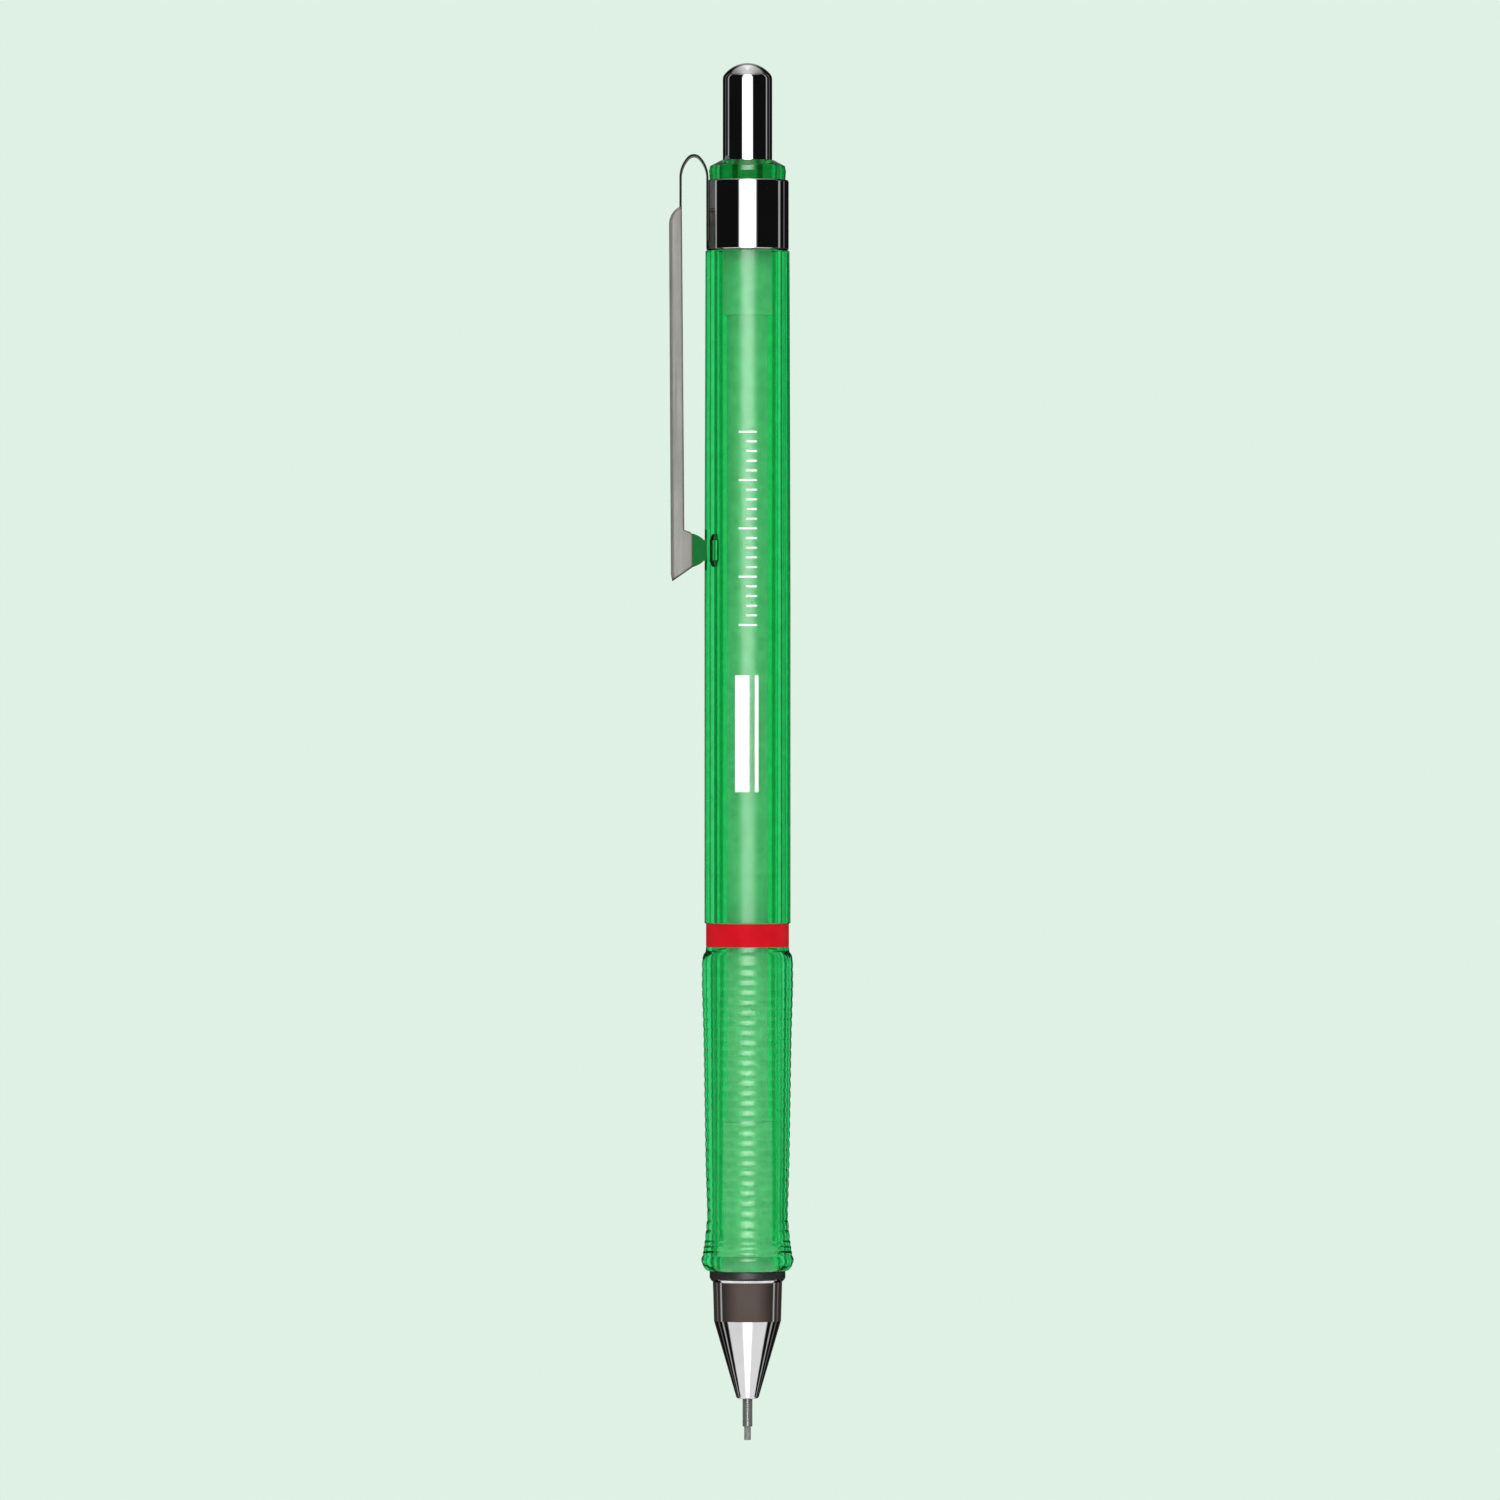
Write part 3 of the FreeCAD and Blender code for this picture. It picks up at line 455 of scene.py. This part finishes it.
NODE_MATERIALS = {"top_collar": clear_plastic("collar_green", COLLAR_TINT, 0.12, 0.01)}


def dress_nodes():
    """Gives every CAD node the material of its slot in the record, or its own."""
    for subpart in frame["record"]["subparts"]:
        node = subpart["node"]
        mesh = nodes[node].data
        mesh.materials.clear()
        mesh.materials.append(NODE_MATERIALS.get(node) or SLOT_MATERIALS[subpart["material_slot"]])


# ---------------------------------------------------------------- pieces made here


def new_piece(name, vertices, faces, material, smooth=True):
    mesh = bpy.data.meshes.new(name)
    mesh.from_pydata([tuple(v) for v in vertices], [], faces)
    mesh.validate()
    mesh.materials.append(material)
    mesh.polygons.foreach_set("use_smooth", [smooth] * len(mesh.polygons))
    piece = bpy.data.objects.new(name, mesh)
    bpy.context.scene.collection.objects.link(piece)
    return piece


def swept(sections):
    """Vertices and faces of a closed solid through equal rings of points, with its two ends capped."""
    count = len(sections[0])
    vertices = [point for section in sections for point in section]
    faces = []
    for ring in range(len(sections) - 1):
        for i in range(count):
            j = (i + 1) % count
            low, high = ring * count, (ring + 1) * count
            faces.append((low + i, low + j, high + j, high + i))
    last = (len(sections) - 1) * count
    faces.append(tuple(reversed(range(count))))
    faces.append(tuple(range(last, last + count)))
    return vertices, faces


# return spring

COIL_RADIUS = 1.76 * MM
WIRE_RADIUS = 0.17 * MM
COIL_TURNS = 8
COIL_STEPS = 40  # round one turn
WIRE_SIDES = 12


def make_return_spring():
    """The coil spring, built at its rest length; the real spring shortens as the button goes in."""
    low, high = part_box("return_spring")
    foot = low.z + WIRE_RADIUS
    rise = high.z - low.z - 2 * WIRE_RADIUS
    slope = math.atan2(rise / COIL_TURNS, FULL_TURN * COIL_RADIUS)
    sections = []
    for step in range(COIL_TURNS * COIL_STEPS + 1):
        turn = FULL_TURN * step / COIL_STEPS
        out = Vector((math.cos(turn), math.sin(turn), 0))
        along = Vector((-math.sin(turn), math.cos(turn), 0))
        up = Vector((0, 0, math.cos(slope))) - along * math.sin(slope)
        centre = out * COIL_RADIUS
        centre.z = foot + rise * step / (COIL_TURNS * COIL_STEPS)
        ring = []
        for side in range(WIRE_SIDES):
            angle = FULL_TURN * side / WIRE_SIDES
            ring.append(centre + (out * math.cos(angle) - up * math.sin(angle)) * WIRE_RADIUS)
        sections.append(ring)
    spring = new_piece("coil_spring", *swept(sections), SLOT_MATERIALS["spring_steel"])
    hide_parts("return_spring")
    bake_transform(spring)


# guide sleeve

GUIDE_RADIUS = 0.51 * MM
GUIDE_BORE = 0.38 * MM
GUIDE_LIP = 0.06 * MM
GUIDE_HEAD_FOOT = height(4.45)
TURNED_SIDES = 64
TURNED_CREASE = math.radians(30)  # turned edges sharper than this stay crisp


def turned(profile, sides):
    """Vertices and faces of a closed ring-shaped solid turned from (radius, z) points."""
    vertices, faces = [], []
    count = len(profile)
    for side in range(sides):
        angle = FULL_TURN * side / sides
        vertices.extend((radius * math.cos(angle), radius * math.sin(angle), z) for radius, z in profile)
        following = (side + 1) % sides
        for i in range(count):
            j = (i + 1) % count
            here, there = side * count, following * count
            faces.append((here + i, there + i, there + j, here + j))
    return vertices, faces


def make_guide_tube():
    """The guide sleeve that shows beyond the cone, turned finely; its head stays hidden in the cone."""
    low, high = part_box("guide_sleeve")
    profile = [
        (GUIDE_BORE, low.z),
        (GUIDE_RADIUS - GUIDE_LIP, low.z),
        (GUIDE_RADIUS, low.z + GUIDE_LIP),
        (GUIDE_RADIUS, GUIDE_HEAD_FOOT),
        (high.x, GUIDE_HEAD_FOOT),
        (high.x, high.z),
        (GUIDE_BORE, high.z),
    ]
    tube = new_piece("guide_tube", *turned(profile, TURNED_SIDES), SLOT_MATERIALS["tube_steel"])
    tube.data.set_sharp_from_angle(angle=TURNED_CREASE)
    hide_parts("guide_sleeve")
    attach(tube, "nose")


# clip loop

CLIP_ROOT = 4.165 * MM
CLIP_LEG = 6.95 * MM
CLIP_SPRING_LINE = height(131.08)
CLIP_FLANK_RADIUS = 3.0 * MM
CLIP_CROWN_RADIUS = 0.8 * MM
CLIP_HALF_THICKNESS = 0.125 * MM
CLIP_HALF_WIDTH = 1.4 * MM
CLIP_EDGE = 0.05 * MM  # how much the strip's long edges are rounded
LOOP_STEPS = 14  # along each arc or straight


def clip_loop_line():
    """(x, z, direction angle) along the middle of the strip, from its root to the arm."""
    root_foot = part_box("clip_spring")[0].z
    leg_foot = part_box("clip_arm")[1].z
    half_span = (CLIP_LEG - CLIP_ROOT) / 2
    reach = CLIP_FLANK_RADIUS - CLIP_CROWN_RADIUS
    lean = math.acos((CLIP_FLANK_RADIUS - half_span) / reach)
    crown = (-CLIP_ROOT - half_span, CLIP_SPRING_LINE + reach * math.sin(lean))
    line = []
    for step in range(LOOP_STEPS):
        z = root_foot + (CLIP_SPRING_LINE - root_foot) * step / LOOP_STEPS
        line.append((-CLIP_ROOT, z, math.pi / 2))
    arcs = (
        (-CLIP_ROOT - CLIP_FLANK_RADIUS, CLIP_SPRING_LINE, CLIP_FLANK_RADIUS, 0, lean),
        (*crown, CLIP_CROWN_RADIUS, lean, math.pi - lean),
        (CLIP_FLANK_RADIUS - CLIP_LEG, CLIP_SPRING_LINE, CLIP_FLANK_RADIUS, math.pi - lean, math.pi),
    )
    for x, z, radius, start, end in arcs:
        for step in range(LOOP_STEPS):
            angle = start + (end - start) * step / LOOP_STEPS
            point = (x + radius * math.cos(angle), z + radius * math.sin(angle))
            line.append((*point, angle + math.pi / 2))
    for step in range(LOOP_STEPS + 1):
        z = CLIP_SPRING_LINE + (leg_foot - CLIP_SPRING_LINE) * step / LOOP_STEPS
        line.append((-CLIP_LEG, z, 1.5 * math.pi))
    return line


def make_clip_loop():
    """The sprung strip that bends between the ring and the clip's arm."""
    sections = []
    for x, z, direction in clip_loop_line():
        out = Vector((math.sin(direction), 0, -math.cos(direction)))
        ring = []
        for across, side in ((1, -1), (1, 1), (-1, 1), (-1, -1)):
            edge = Vector((x, side * CLIP_HALF_WIDTH, z)) + out * across * CLIP_HALF_THICKNESS
            inward = Vector((0, -side * CLIP_EDGE, 0))
            sunk = -out * across * CLIP_EDGE
            pair = [edge + inward, edge + sunk]
            ring.extend(pair if across * side > 0 else reversed(pair))
        sections.append(ring)
    # the strip's cut edges, which face along Y, are painted near black as shade
    strip_steel = metal(
        "strip_steel",
        grey(0.18),
        grey(0.21),
        0.4,
        (1.0, 1.0, 0.03),
        1e-6,
        0.05,
        edges=cut_edge_painted_shade,
        shine=0.1,
    )
    loop = new_piece("clip_loop", *swept(sections), strip_steel, smooth=False)
    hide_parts("clip_spring")
    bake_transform(loop)


# printed marks: two plain stripes and a plain scale, with no lettering

BARREL_RADIUS = 4.47 * MM
BARREL_TOP_RADIUS = 4.37 * MM
TAPER_FOOT = height(88)
TAPER_TOP = height(123.5)
INK_RISE = 0.03 * MM
INK_SINK = 0.03 * MM  # how far the ink's underside lies inside the barrel's surface
INK_STEP = 0.25 * MM


def barrel_radius(z):
    share = min(max((z - TAPER_FOOT) / (TAPER_TOP - TAPER_FOOT), 0.0), 1.0)
    return BARREL_RADIUS + (BARREL_TOP_RADIUS - BARREL_RADIUS) * share


def on_barrel(up, along, rise):
    """The point on the barrel's near side at a height, so far up from its middle line towards the clip."""
    radius = barrel_radius(along)
    angle = up / radius
    return Vector((-math.sin(angle), -math.cos(angle), 0)) * (radius + rise) + Vector((0, 0, along))


def ink_line(points, width):
    """Sections of a raised line of ink through (along, up) points."""
    dense = [points[0]]
    for start, end in zip(points, points[1:]):
        length = math.dist(start, end)
        steps = max(1, math.ceil(length / INK_STEP))
        for step in range(1, steps + 1):
            share = step / steps
            dense.append(tuple(a + (b - a) * share for a, b in zip(start, end)))
    sections = []
    for index, point in enumerate(dense):
        before = dense[max(index - 1, 0)]
        after = dense[min(index + 1, len(dense) - 1)]
        length = math.dist(before, after)
        half = width / 2 / length
        normal = (-(after[1] - before[1]) * half, (after[0] - before[0]) * half)
        parts = max(1, math.ceil(width / INK_STEP))
        across = [1 - 2 * part / parts for part in range(parts + 1)]
        ring = []
        for rise, sides in ((INK_RISE, across), (-INK_SINK, reversed(across))):
            for side in sides:
                ring.append(on_barrel(point[1] + side * normal[1], point[0] + side * normal[0], rise))
        sections.append(ring)
    return sections


def make_ink(name, lines):
    """One piece of ink made of several lines, each given as (points, width)."""
    vertices, faces = [], []
    for points, width in lines:
        line_vertices, line_faces = swept(ink_line(points, width))
        faces.extend(tuple(i + len(vertices) for i in face) for face in line_faces)
        vertices.extend(line_vertices)
    ink = new_piece(name, vertices, faces, SLOT_MATERIALS["print_white"], smooth=False)
    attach(ink, "barrel")


SCALE_START = height(84.6)
SCALE_BASE = -0.98 * MM  # the foot of the ticks, to the right of the barrel's middle line
SCALE_STEP = 1.0 * MM
SCALE_TICKS = 21
LONG_TICK_EVERY = 5
TICK_LINE = 0.2 * MM
SHORT_TICK = 1.1 * MM
LONG_TICK = 1.9 * MM


def make_scale():
    """A plain millimetre scale."""
    lines = []
    for tick in range(SCALE_TICKS):
        along = SCALE_START + tick * SCALE_STEP
        length = SHORT_TICK if tick % LONG_TICK_EVERY else LONG_TICK
        lines.append(([(along, SCALE_BASE), (along, SCALE_BASE + length)], TICK_LINE))
    make_ink("print_scale", lines)


STRIPES_START = height(67.3)
STRIPES_END = height(79.4)
STRIPES = ((0.55 * MM, 1.5 * MM), (-0.95 * MM, 0.4 * MM))  # (middle, width) of each


def make_stripes():
    """A broad and a narrow stripe."""
    make_ink("print_stripes", [([(STRIPES_START, up), (STRIPES_END, up)], width) for up, width in STRIPES])


# ---------------------------------------------------------------- floor, light and camera

FLOOR_RADIUS = 3.2
FLOOR_HEIGHT = -0.30
FLOOR_RINGS = 12
FLOOR_SIDES = 96
FLOOR_TONES = (colour(0.635, 0.755, 0.655), colour(0.655, 0.775, 0.675))


def make_floor():
    """A pale disc well below the object, which hangs in the air."""
    material, n, place = new_material("floor")
    cloud = n.noise(place, 3.0, 2.0)
    base = n.mix(n.ramp(cloud, *MOTTLE), *FLOOR_TONES)
    skin = n.add("BsdfPrincipled", {"Base Color": base, "Roughness": 0.8, "Specular IOR Level": 0.1})
    n.finish(skin.outputs[0])
    vertices = [(0.0, 0.0, FLOOR_HEIGHT)]
    faces = []
    for ring in range(1, FLOOR_RINGS + 1):
        radius = FLOOR_RADIUS * ring / FLOOR_RINGS
        for side in range(FLOOR_SIDES):
            angle = FULL_TURN * side / FLOOR_SIDES
            vertices.append((radius * math.cos(angle), radius * math.sin(angle), FLOOR_HEIGHT))
    for side in range(FLOOR_SIDES):
        following = (side + 1) % FLOOR_SIDES
        faces.append((0, 1 + side, 1 + following))
        for ring in range(FLOOR_RINGS - 1):
            inner, outer = 1 + ring * FLOOR_SIDES, 1 + (ring + 1) * FLOOR_SIDES
            faces.append((inner + side, outer + side, outer + following, inner + following))
    floor = new_piece("floor", vertices, faces, material)
    floor.visible_glossy = False
    floor.visible_transmission = False


BACKGROUND = colour(0.74, 0.88, 0.78)

# Directions are in degrees: azimuth is 0 straight in front of the object and positive towards +X, and
# off_front is its size. A band is (low, high, softness) and a ramp is (from, to).
CEILING_EDGE = (30, 55)
FRONT_BAND = (-5, 6, 22)
FRONT_FOOT = (-2.5, -1.4)
FRONT_STRENGTH = 9.0
SIDE_BANDS = (((98, 103, 3), 0.40), ((122, 126, 3), 0.12))  # each with its strength
REAR_RAMP = (160, 176)
REAR_STRENGTH = 0.3
TOP_BAND = (52, 90, 12)
TOP_FADE = (0.05, 0.6, 0.8, 0.2)  # from its middle to its ends, and the strengths there
CARD_EDGE = (-80, 74, 8)
CARD_EDGE_STRENGTH = 0.85
CARD_MIDDLE = (-12, 12, 12)
CARD_MIDDLE_STRENGTH = 0.8
CARD_TOP = (-17, -13)
DUSK_BAND = (-11, -3.4, 0.8)
DUSK_FADE = (20, 96, 0.11, 0.03)
DUSK_TINT = colour(1.25, 0.98, 0.88)
FLOOR_EDGE = (-46, -40)
FLOOR_GLOW = 0.9
DARKEST = 0.006

THROUGH_BRIGHT = colour(0.13, 0.95, 0.48)
THROUGH_GAP = colour(0.002, 0.32, 0.10)
LEFT_GAP = (-130, -116, 4)
RIGHT_GAP = (133, 144, 4)
REAR_GAP = (155, 162, 3)
REAR_GAP_DEPTH = 0.8
NEAR_GAP = (44, 62, 8)

ROOM_BY_HEIGHT = (-60, 60, 0.85, 1.15)
ROOM_BY_SIDE = (0, 130, 1.45, 0.8)


def soft_boxes(n, azimuth, off_front, elevation, across):
    """What polished surfaces reflect: tall soft boxes, one overhead and a low card, in a dark studio."""
    below_ceiling = n.ramp(elevation, *CEILING_EDGE, 1.0, 0.0)
    upright = n.math("MULTIPLY", n.ramp(elevation, *FRONT_FOOT), below_ceiling)
    front = n.math("MULTIPLY", n.math("MULTIPLY", n.band(azimuth, *FRONT_BAND), FRONT_STRENGTH), upright)
    boxes = [n.math("MULTIPLY", n.band(off_front, *band), strength) for band, strength in SIDE_BANDS]
    flanks = n.math("MULTIPLY", n.total(*boxes), below_ceiling)
    rear = n.math("MULTIPLY", n.ramp(off_front, *REAR_RAMP), REAR_STRENGTH)
    fade = n.ramp(n.math("ABSOLUTE", across), *TOP_FADE)
    top = n.math("MULTIPLY", n.band(elevation, *TOP_BAND), fade)
    card_edge = n.math("MULTIPLY", n.band(off_front, *CARD_EDGE), CARD_EDGE_STRENGTH)
    card_middle = n.math("MULTIPLY", n.band(azimuth, *CARD_MIDDLE), CARD_MIDDLE_STRENGTH)
    card_height = n.ramp(elevation, *CARD_TOP, 1.0, 0.0)
    card = n.math("MULTIPLY", n.math("ADD", card_edge, card_middle), card_height)
    dusk = n.math("MULTIPLY", n.band(elevation, *DUSK_BAND), n.ramp(off_front, *DUSK_FADE))
    floor = n.math("MULTIPLY", n.ramp(elevation, *FLOOR_EDGE, 1.0, 0.0), FLOOR_GLOW)
    neutral = n.total(front, flanks, rear, top, n.math("MAXIMUM", card, floor), DARKEST)
    return n.mix_add(neutral, dusk, DUSK_TINT)


def seen_through(n, azimuth, off_front):
    """What shows through clear plastic: a bright surround with darker gaps between the lights."""
    gaps = n.total(
        n.band(azimuth, *LEFT_GAP),
        n.band(azimuth, *RIGHT_GAP),
        n.math("MULTIPLY", n.band(off_front, *REAR_GAP), REAR_GAP_DEPTH),
        n.band(off_front, *NEAR_GAP),
    )
    return n.mix(gaps, THROUGH_BRIGHT, THROUGH_GAP)


def make_world():
    """One world with a light of its own for reflections, for rays through plastic and for the camera."""
    world = bpy.data.worlds.new("studio")
    world.use_nodes = True
    n = Nodes(world.node_tree)
    direction = n.add("SeparateXYZ", {"Vector": n.add("TexCoord").outputs["Generated"]}).outputs
    degrees = 180 / math.pi
    forward = n.math("MULTIPLY", direction["Y"], -1.0)
    azimuth = n.math("MULTIPLY", n.math("ARCTAN2", direction["X"], forward), degrees)
    off_front = n.math("ABSOLUTE", azimuth)
    elevation = n.math("MULTIPLY", n.math("ARCSINE", direction["Z"]), degrees)
    path = n.add("LightPath").outputs

    glossy = soft_boxes(n, azimuth, off_front, elevation, direction["X"])
    through = seen_through(n, azimuth, off_front)
    room = n.math("MULTIPLY", n.ramp(elevation, *ROOM_BY_HEIGHT), n.ramp(off_front, *ROOM_BY_SIDE))
    light = n.mix(path["Is Glossy Ray"], room, glossy)
    light = n.mix(path["Is Transmission Ray"], light, through)
    light = n.mix(path["Is Camera Ray"], light, BACKGROUND)
    n.finish(n.add("Background", {"Color": light}).outputs[0], "OutputWorld")
    world.cycles.sampling_method = "NONE"
    bpy.context.scene.world = world


CAMERA_LENS = 280.0
SENSOR_WIDTH = 36.0
FRAME_HEIGHT = 155.8 * MM  # what the picture spans, from edge to edge, at the object
VIEW_CENTRE = height(71.66)
VIEW_SHIFT = 0.26 * MM  # the picture's middle lies this far to the right of the object's axis


def make_camera():
    """A long lens square on to the object's side."""
    data = bpy.data.cameras.new("camera")
    data.lens = CAMERA_LENS
    data.sensor_width = SENSOR_WIDTH
    data.clip_start = 0.01
    data.clip_end = 50.0
    camera = bpy.data.objects.new("camera", data)
    distance = FRAME_HEIGHT * CAMERA_LENS / SENSOR_WIDTH
    camera.location = (VIEW_SHIFT, -distance, VIEW_CENTRE)
    camera.rotation_euler = (math.pi / 2, 0, 0)
    bpy.context.scene.collection.objects.link(camera)
    bpy.context.scene.camera = camera


# ---------------------------------------------------------------- the scene

dress_nodes()
make_return_spring()
make_guide_tube()
make_clip_loop()
for part in (nodes["clip_arm"], bpy.data.objects["clip_loop"]):
    part.visible_transmission = False  # else it shows through the barrel as a black line
make_scale()
make_stripes()
make_floor()
make_world()
make_camera()
bpy.context.scene.view_settings.view_transform = "Standard"
